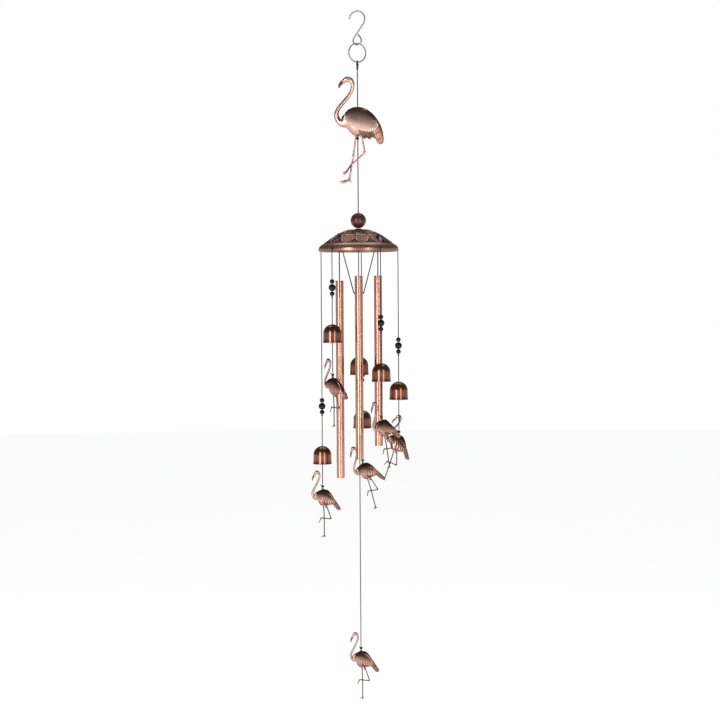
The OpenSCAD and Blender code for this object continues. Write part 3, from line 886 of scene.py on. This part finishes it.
class Bird:
    """Body line, wing and feathers of one size of flamingo, in its own frame."""

    def __init__(self, shape, per, sides, wing_upper, wing_lower, proud, feathers, fringe, wing_highlight):
        fine = np.array(catmull(shape, per))
        # The last argument is the level of the painted highlight on the lower wing.
        self.sides, self.proud, self.feathers, self.fringe, self.wing_highlight = sides, proud, feathers, fringe, wing_highlight
        self.upper, self.lower = (np.array(catmull(line, 12)) for line in (wing_upper, wing_lower))
        self.pts = fine[:, :2]
        self.head = np.gradient(self.pts, axis=0)
        self.head /= np.linalg.norm(self.head, axis=1)[:, None]
        self.half = np.maximum(fine[:, 2:], 0.25)
        self.beak_from = int((len(shape) - 3.2) * per)

    def depth(self, x, z):
        """Half thickness of the body at a point of its side view."""
        d = np.array([x, z]) - self.pts
        along = (d * self.head).sum(1)
        off = d[:, 0] * -self.head[:, 1] + d[:, 1] * self.head[:, 0]
        near = np.abs(along) < np.abs(self.pts - np.roll(self.pts, 1, 0)).max() * 1.3
        inside = near & (np.abs(off) < self.half[:, 0])
        if not inside.any():
            return 0.0
        return float((self.half[inside, 1] * np.sqrt(1 - (off[inside] / self.half[inside, 0]) ** 2)).max())

    def body(self, b):
        """Rounded body and neck, then the beak in the second material."""
        rings, relief = [], []
        for (x, z), (hx, hz), (half_u, half_v) in zip(self.pts, self.head, self.half):
            ring = []
            for k in range(self.sides):
                a = TAU * k / self.sides
                u, v = half_u * math.cos(a), half_v * math.sin(a)
                ring.append((x - hz * u, v, z + hx * u))
                # Painted light: the broad sides are painted lighter and the outline darker, as a painted
                # highlight and painted shade; the beak keeps a darker share of the same.
                relief.append(0.26 + 0.5 * abs(math.sin(a)))
            rings.append(ring)
        cut_at, n = self.beak_from, self.sides
        b.rows(rings[:cut_at + 1], relief[:(cut_at + 1) * n])
        b.rows(rings[cut_at:], [0.6 * x for x in relief[cut_at * n:]], slot=1)

    def wing(self, b, side):
        """Shell that stands proud of the body, with a serrated, grooved lower edge."""
        count, rows = 120, 22
        size = self.proud
        begin, high = self.fringe
        grid, relief = [], []
        for s in np.linspace(0, 1, count):
            upper, lower = along_line(self.upper, s), along_line(self.lower, s)
            phase = (s * self.feathers) % 1
            cut_in = float(smoothstep(s, begin, begin + 0.2)) * size * 1.15
            tooth = cut_in * (1 - abs(2 * phase - 1.0) ** 1.4) - cut_in * 0.4
            drop = (lower - upper) / (np.linalg.norm(lower - upper) + 1e-6)
            lower = lower + drop * tooth + np.array([0.4, -0.1]) * tooth
            fringed = smoothstep(s, begin - 0.04, begin + 0.1)
            arch = 0.62 * math.sin(math.pi * min(1, s * 1.02)) ** 0.6
            row = []
            for t in (j / (rows - 1) for j in range(rows)):
                x, z = upper + (lower - upper) * t
                zone = float(smoothstep(t, high, high + 0.18) * fringed)
                groove = ridge(min(phase, 1 - phase), 0, 0.1) * zone
                quill = ridge(phase, 0.5, 0.08) * zone
                covert = 0.5 + 0.5 * math.cos(TAU * (s * self.feathers * 0.8 + 0.5 * (int(t * 6) % 2)))
                covered = float(smoothstep(t, 0.3, 0.42) * (1 - smoothstep(t, 0.66, 0.74)))
                scale = ridge((t * 6) % 1, 0.12 + 0.25 * covert, 0.12) * covered * max(0, 0.9 - high)
                rise = 0.22 + arch * (0.25 + 0.75 * t ** 0.8)
                proud = rise * math.sin(math.pi * min(0.5, 0.08 + t * 0.9))
                y = self.depth(x, z) + size * (proud - 0.26 * groove - 0.08 * scale + 0.08 * quill)
                row.append((x, -y * side, z))
                # Painted shade towards the top edge of the wing and a painted highlight over its lower part;
                # the grooves and scales are darker and the quills lighter.
                shade = self.wing_highlight - (self.wing_highlight - 0.3) * float(1 - smoothstep(t, 0.1, 0.45))
                relief.append(min(1, max(0, shade - 0.5 * groove + 0.25 * quill - 0.6 * scale)))
            # The turned-under lip of the wing is painted dark, as painted shade under its edge.
            for inward in (0.55, 0.95):
                x, z = lower - drop * size * 0.25 * inward
                y = self.depth(x, z) * (1 - 0.1 * inward) + size * 0.25 * (1 - inward)
                row.append((x, -y * side, z))
                relief.append(0.12)
            grid.append(row)
        b.rows(grid, relief, caps=False, around=False)

    def feather(self, b, side, root, tip, lift, width, shade):
        """Tail feather laid on the body in three lengths, from two points of the side view."""
        ends = [Vector(root).lerp(Vector(tip), t) for t in (0, 0.35, 0.7, 1)]
        laid = [Vector((x, -side * (self.depth(x, z) + lift), z)) for x, z in ends]
        for p, q, overlap, narrowed in zip(laid, laid[1:], (0.12, 0.12, 0), (1, 0.96, 0.86)):
            self.blade(b, p, q + (q - p) * overlap, width * narrowed, lift * 2, shade)

    @staticmethod
    def blade(b, root, tip, width, thick, shade=0.55):
        """A feather: flat pointed leaf with a raised quill and slanting barbs."""
        root = Vector(root)
        along = Vector(tip) - root
        length = along.length
        along.normalize()
        side = along.cross(Vector((0, 1, 0))).normalized()
        out = side.cross(along).normalized()
        steps = 14
        rows, relief = [], []
        for t in (i / steps for i in range(steps + 1)):
            pointed = 1 if t < 0.7 else max(0.06, math.cos((t - 0.7) / 0.3 * math.pi / 2))
            w = width * (0.62 + 0.5 * math.sin(math.pi * min(1, t * 0.9 + 0.1))) * pointed
            barb = 0.5 + 0.5 * math.cos(TAU * t * 5)
            vane = (0.5 + 0.1 * barb, 0.4 + 0.25 * barb)
            section = ((-1, 0.0, 0.15), (-0.8, 0.42, 0.55), (-0.3, *vane), (0, 1.0, 1.0), (0.3, *vane),
                       (0.8, 0.42, 0.55), (1, 0.0, 0.15), (0.3, -0.5, 0.4), (0, -1.0, 1.0), (-0.3, -0.5, 0.4))
            centre = root + along * (length * t)
            rows.append([centre + side * (u * w / 2) + out * (h * thick / 2) for u, h, _ in section])
            relief += [min(1, shade * (0.45 + 0.85 * r)) for _, _, r in section]
        b.rows(rows, relief)


def limb(b, points, radius, knob, sides=12, slot=0, relief=0.5, taper=1.0):
    """A jointed leg: slim bone, thick at each joint."""
    joints = [Vector((x, y, z)) for x, z, y in points]
    step = radius * 0.5
    path = resampled(rounded(joints, radius * 1.5, 6), step)
    total = sum((q - p).length for p, q in zip(path, path[1:]))

    def swelling(point, width):
        """1 at a joint, less away from it."""
        near = min((point - joint).length for joint in joints)
        return math.exp(-(near / (radius * width)) ** 2)

    def shape(_, along):
        point = path[min(int(along / step), len(path) - 1)]
        return radius * (0.82 + knob * swelling(point, 1.7)) * (1 - (1 - taper) * along / total)

    values = []
    for point in path:
        values += [relief + 0.3 * swelling(point, 1.6)] * sides
    b.rows(sweep(path, shape, sides), values, slot)


def foot(b, ankle, toes, radius):
    """Ringed toes with a web between neighbours."""
    heel = Vector((ankle[0], ankle[2], ankle[1]))
    tips = [Vector((x, y, z)) for x, z, y in toes]
    for tip in tips:
        path = resampled([heel, heel.lerp(tip, 0.5) + up(radius * 0.35), tip], radius * 0.5)
        total = (tip - heel).length

        def toe(_, along):
            return radius * (1.05 - 0.55 * along / total + 0.12 * math.cos(along / radius * 3.5))

        b.rows(sweep(path, toe, 10), 0.5)
    half = up(radius * 0.18)
    for p, q in zip(tips, tips[1:]):
        corners = [heel, heel.lerp(p, 0.62), heel.lerp(q, 0.62)]
        b.add([c + half for c in corners] + [c - half for c in corners],
              [(0, 1, 2), (3, 5, 4), (0, 3, 4, 1), (1, 4, 5, 2), (2, 5, 3, 0)], 0.35)


def eye(b, centre, r):
    rows = []
    for t in np.linspace(0.15, math.pi - 0.15, 9):
        middle = Vector(centre) + Vector((0, r * 0.7 * math.cos(t), 0))
        rows.append(circle(14, middle, Vector((r * math.sin(t), 0, 0)), up(r * math.sin(t))))
    b.rows(rows, 0.9, 1)


def jaw(b, side, line, step, radius):
    """Raised line of the beak."""
    path = [Vector((x, -side * y, z)) for x, z, y in line]
    b.rows(sweep(resampled(path, step), lambda a, s: radius, 6), 0.9, 1)


# Half width and half depth of body, neck and beak at points (x, z) of the side view, from tail to beak
LARGE = [
    (31.2, -44, 1.2, 0.7), (28.8, -39.5, 4.0, 1.6), (24, -32.6, 8, 4), (18, -26.6, 11.8, 6.6),
    (10.5, -22, 16, 8.8), (2.5, -19.4, 18.2, 9.5), (-7, -18.2, 15.5, 8.5), (-14.5, -18.4, 9.5, 6),
    (-20.4, -19.6, 5.2, 4), (-25, -15.6, 3.4, 3), (-26.4, -8.9, 2.7, 2.7), (-23.4, -1.7, 2.4, 2.4),
    (-17.4, 5.6, 2.3, 2.3), (-11.2, 12.8, 2.2, 2.2), (-7.1, 20.1, 2.1, 2.1), (-5.9, 26.8, 2.3, 2.3),
    (-8, 32.4, 2.9, 2.6), (-12.9, 34, 3.5, 2.8), (-16.4, 32.2, 2.7, 2.2), (-19.8, 29.8, 2.2, 1.8),
    (-22.2, 26.7, 1.6, 1.3), (-23.3, 23, 0.6, 0.6)]
LARGE_WING_TOP = [(-17.6, -15.2), (-15.6, -8.4), (-10, -3.4), (-2, -0.9), (8, -2.0), (16, -7.2), (22, -14.5),
                  (25.6, -22.5)]
LARGE_WING_LOW = [(-17.6, -16.2), (-12, -21.2), (-6.5, -25.6), (-1, -28.6), (6, -31.0), (13, -31.8),
                  (19.5, -30.2), (25.2, -25.4)]
LARGE_JAW = ((-15.6, 32.0, 2.25), (-18.4, 29.4, 1.95), (-20.8, 26.6, 1.5), (-22.4, 24.3, 0.95))
large = Bird(LARGE, 10, 44, LARGE_WING_TOP, LARGE_WING_LOW, 1.9, 17, (0.66, 0.84), 0.86)


def large_feathers(b, side):
    """Drooping fringe under the wing, then the tail."""
    for i in range(13):
        t = i / 12
        x, z = 2.5 + 17.5 * t, -31.0 - 1.2 * math.sin(math.pi * t) + 2.2 * t * t
        y = (large.depth(x, z) + 0.5) * -side
        tip = (x + 3.0 + 1.6 * t, y * 0.72, z - 6.6 - 2.2 * math.sin(i * 2.4) ** 2 - 1.6 * t)
        large.blade(b, (x - 1.2, y, z + 2.2), tip, 2.1, 0.7, 0.26)
    for i in range(7):
        t = i / 6
        droop = 2.4 * math.sin(math.pi * (0.2 + 0.6 * t))
        root, tip = (18.6 + 7.0 * t, -29.6 + 5.6 * t), (26.0 + 5.6 * t, -44.8 - droop + 0.6 * t)
        large.feather(b, side, root, tip, 0.45 + 0.25 * (i % 2), 2.0, 0.95 if i % 2 else 0.5)


def large_head(b, side):
    """Eye, its lid and the line of the beak."""
    eye(b, (-11.9, -side * 2.75, 34.6), 0.85)
    lid = circle(23, Vector((-11.9, -side * 2.72, 34.6)), Vector((1.25, 0, 0)), up(1.1))
    b.rows(sweep(lid, lambda a, s: 0.24, 8, True), 0.85, ends=True)
    jaw(b, side, LARGE_JAW, 0.4, 0.22)


def large_legs(b):
    standing = [(-1.8, -33, 3), (-5.7, -61.4, 3), (-11, -91, 3)]
    bent = [(4, -33, -3), (8.8, -57.5, -3.4), (-8.2, -72.5, -3.4), (-15.4, -82.4, -3.4)]
    limb(b, standing, 1.3, 0.42, 14)
    limb(b, bent[:3], 1.3, 0.42, 14)
    limb(b, bent[2:], 1.25, 0.35, 12, 1)
    toes = [(-23.3, -93.6, 2), (-20.4, -95.6, -0.6), (-17, -94.6, 6), (-8.6, -94.2, 3.4)]
    foot(b, standing[-1], toes, 1.15)
    foot(b, bent[-1], [(-18.8, -84.2, -3.9), (-17.2, -85.6, -2.6), (-19.6, -81.4, -3.2)], 1.0)
    for x, y, slant in ((-1.8, 3, -0.14), (4.0, -3, 0.2)):
        thigh = resampled([(x - slant * 3, y * 0.8, -29.5), (x, y, -34), (x + slant * 4.5, y, -39.5)], 0.8)
        b.rows(sweep(thigh, lambda a, s: 2.3 - 0.1 * s + 0.08 * math.cos(s * 3), 12), 0.55)


def large_flamingo():
    place = Matrix.Translation(up(BIRD_Z))
    b = Build()
    large.body(b)
    for side in (1, -1):
        large.wing(b, side)
        large_feathers(b, side)
        large_head(b, side)
    seam = [Vector((x - hz * half, 0, z + hx * half))
            for (x, z), (hx, hz), (half, _) in zip(large.pts, large.head, large.half)]
    b.rows(sweep(resampled(seam[20:], 0.8), lambda a, s: 0.16, 6), 0.75)
    b.piece("large_flamingo_pressed", "large_flamingo", [BIRD, BEAK],
            ["large_flamingo_front", "large_flamingo_back"], "flamingo_copper", place, 45)
    legs = Build()
    large_legs(legs)
    legs.piece("large_flamingo_legs_jointed", "large_flamingo", [BIRD, BEAK], ["large_flamingo_legs"],
               "flamingo_copper", place, 45)


large_flamingo()

SMALL = [
    (22.4, -27.4, 0.7, 0.5), (18.5, -22, 1.9, 0.9), (14.3, -17.4, 2.5, 1.3), (11, -15, 5, 2),
    (7, -13.2, 8.4, 2.8), (2.5, -11.6, 10.6, 3.2), (-2, -10.2, 9.4, 2.8), (-6.4, -9.8, 6, 2),
    (-10, -11, 2.9, 1.7), (-12.4, -8.4, 1.7, 1.5), (-12.7, -5, 1.4, 1.3), (-10.9, -0.7, 1.3, 1.2),
    (-7.6, 5.4, 1.25, 1.2), (-5.1, 10.8, 1.2, 1.15), (-4, 15.6, 1.3, 1.2), (-4.8, 19.2, 1.6, 1.4),
    (-7.3, 20.9, 2.1, 1.7), (-9.6, 18.4, 1.5, 1.3), (-11, 15.8, 1.2, 1), (-12.4, 13, 0.9, 0.7),
    (-13, 9.9, 0.4, 0.4)]
SMALL_WING_TOP = [(-9.4, -8.6), (-7.6, -5.4), (-4, -2.6), (0, -1.4), (5, -2.6), (9, -6), (12.6, -10.4),
                  (15.2, -14.4)]
SMALL_WING_LOW = [(-9.4, -9.6), (-6, -12.2), (-2, -14.6), (2, -16.6), (6, -17.9), (9.5, -18.2), (12.8, -17.4),
                  (15.4, -15.6)]
SMALL_JAW = ((-9.3, 18.2, 1.3), (-10.8, 15.6, 1.05), (-12.1, 13.2, 0.78), (-12.7, 11.4, 0.5))
small = Bird(SMALL, 9, 32, SMALL_WING_TOP, SMALL_WING_LOW, 1.3, 9, (0.3, 0.5), 0.63)


def small_feathers(b, side):
    for i in range(7):
        t = i / 6
        x, z = 1.0 + 11.0 * t, -17.0 - 0.9 * math.sin(math.pi * t) + 0.6 * t
        y = (small.depth(x, z) + 0.25) * -side
        tip = (x + 2.2 + t, y * 0.65, z - 3.2 - 0.8 * math.sin(i * 2.4) ** 2)
        small.blade(b, (x - 0.8, y, z + 1.4), tip, 1.7, 0.5, 0.4)
    for i in range(5):
        t = i / 4
        droop = 1.4 * math.sin(math.pi * (0.3 + 0.4 * t))
        root, tip = (11.8 + 3.2 * t, -17.6 + 3.2 * t), (19.4 + 3.2 * t, -26.4 - droop + 1.2 * t)
        small.feather(b, side, root, tip, 0.25 + 0.12 * (i % 2), 1.4, 0.85 if i % 2 else 0.45)


def small_legs(b):
    """One leg straight, the other folded at the knee."""
    standing = [(1.1, -20, 0), (1.8, -37, 0), (1.8, -60, 0)]
    folded = [(4.3, -20, 0), (10.6, -38.4, 0), (-2.2, -37.2, 0)]
    shin = [(-2.2, -37.2, 0), (-4.7, -43, 0)]
    limb(b, standing, 0.8, 0.45, 10, 1, 0.45)
    limb(b, folded, 0.78, 0.45, 10, 1, 0.45)
    limb(b, shin, 0.75, 0.35, 10, 1, 0.4, 0.7)
    foot(b, standing[-1], [(-2, -60.9, 0), (3.6, -61.1, 0), (0.6, -61.1, -2.6), (0.4, -61.0, 1.6)], 0.62)
    for x in (1.1, 4.0):
        thigh = [(x, 0, z) for z in (-19.5, -21.2, -23.0, -24.6)]
        b.rows(sweep(thigh, lambda a, s: 1.25 - 0.09 * s, 12), 0.4)


def charm(name, body, node, spot, lean):
    """A small cast flamingo, hung by the lug on its back; lean is its yaw, pitch and roll."""
    place = Matrix.Translation(spot)
    for angle, axis in zip(lean, "ZYX"):
        place @= Matrix.Rotation(math.radians(angle), 4, axis)
    b = Build()
    small.body(b)
    for side in (1, -1):
        small.wing(b, side)
        small_feathers(b, side)
        eye(b, (-6.6, -side * 1.62, 21.2), 0.5)
        jaw(b, side, SMALL_JAW, 0.3, 0.14)
    small_legs(b)
    lug = circle(30, up(-1.6), Vector((1.5, 0, 0)), up(1.5))
    b.rows(sweep(lug, lambda a, s: 0.62 + 0.1 * math.cos(2 * a), 12, True), 0.95, ends=True)
    b.piece(name, body, [CHARM, BEAK], [node], "flamingo_copper", place, 45)


def tied(name, body, node, spot, yaw, loose):
    """Knot over the lug, its loop through the lug, and a cut end of cord."""
    b = Build()
    c = Vector(spot)
    knot(b, c + up(2.8), 2.0, 0.62, yaw)
    t = math.radians(yaw)
    across = Vector((-math.sin(t), math.cos(t), 0))
    loop = circle(40, c + up(0.6), across * 2.2 * 0.62, up(2.2))
    b.rows(sweep(loop, rope(0.55), 10, True), ends=True)
    tip = (-2.6 * loose, -0.8, 4.3 + 0.5 * loose)
    end = [c + Vector(p) for p in ((-0.8, -0.6, 3.2), (-1.7, -0.9, 3.8), tip)]
    b.rows(sweep(resampled(rounded(end, 0.8), 0.35), rope(0.5), 9))
    b.piece(name, body, [CORD], [node], "string", sharp=None)


# Drop of each lug below the rim, how each flamingo stands as yaw, pitch and roll, and its loose end's length
HUNG = ((155, (-40, 0, 0), 1.5), (207, (32, -9, 0), 0.9), (229, (-8, 19, -10), 1.0), (268, (4, -14, 0), 0.9),
        (298, (0, 0, 0), 1.0))
SAIL_DROP = 500
for k, (drop, lean, loose) in zip(KEYS, HUNG):
    spot = (string_spots[k].x, string_spots[k].y, RIM_Z - drop)
    charm(f"flamingo_{k}_cast", "flamingo_" + k, "flamingo_" + k, spot, lean)
    tied(f"tie_{k}_tied", "flamingo_" + k, "tie_" + k, spot, lean[0], loose)
charm("sail_flamingo_cast", "sail", "sail_flamingo", up(RIM_Z - SAIL_DROP), (0, 0, 0))
tied("sail_tied", "sail", "sail_tie", up(RIM_Z - SAIL_DROP), 0, 1.0)

# Floor

FLOOR_Z = -1100
b = Build()
b.rows([level(r, FLOOR_Z, 96) for r in (9000, 4000, 1500, 400, 2)], caps=False)
floor = b.piece("floor", None, [FLOOR], sharp=None)
floor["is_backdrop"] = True

low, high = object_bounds()
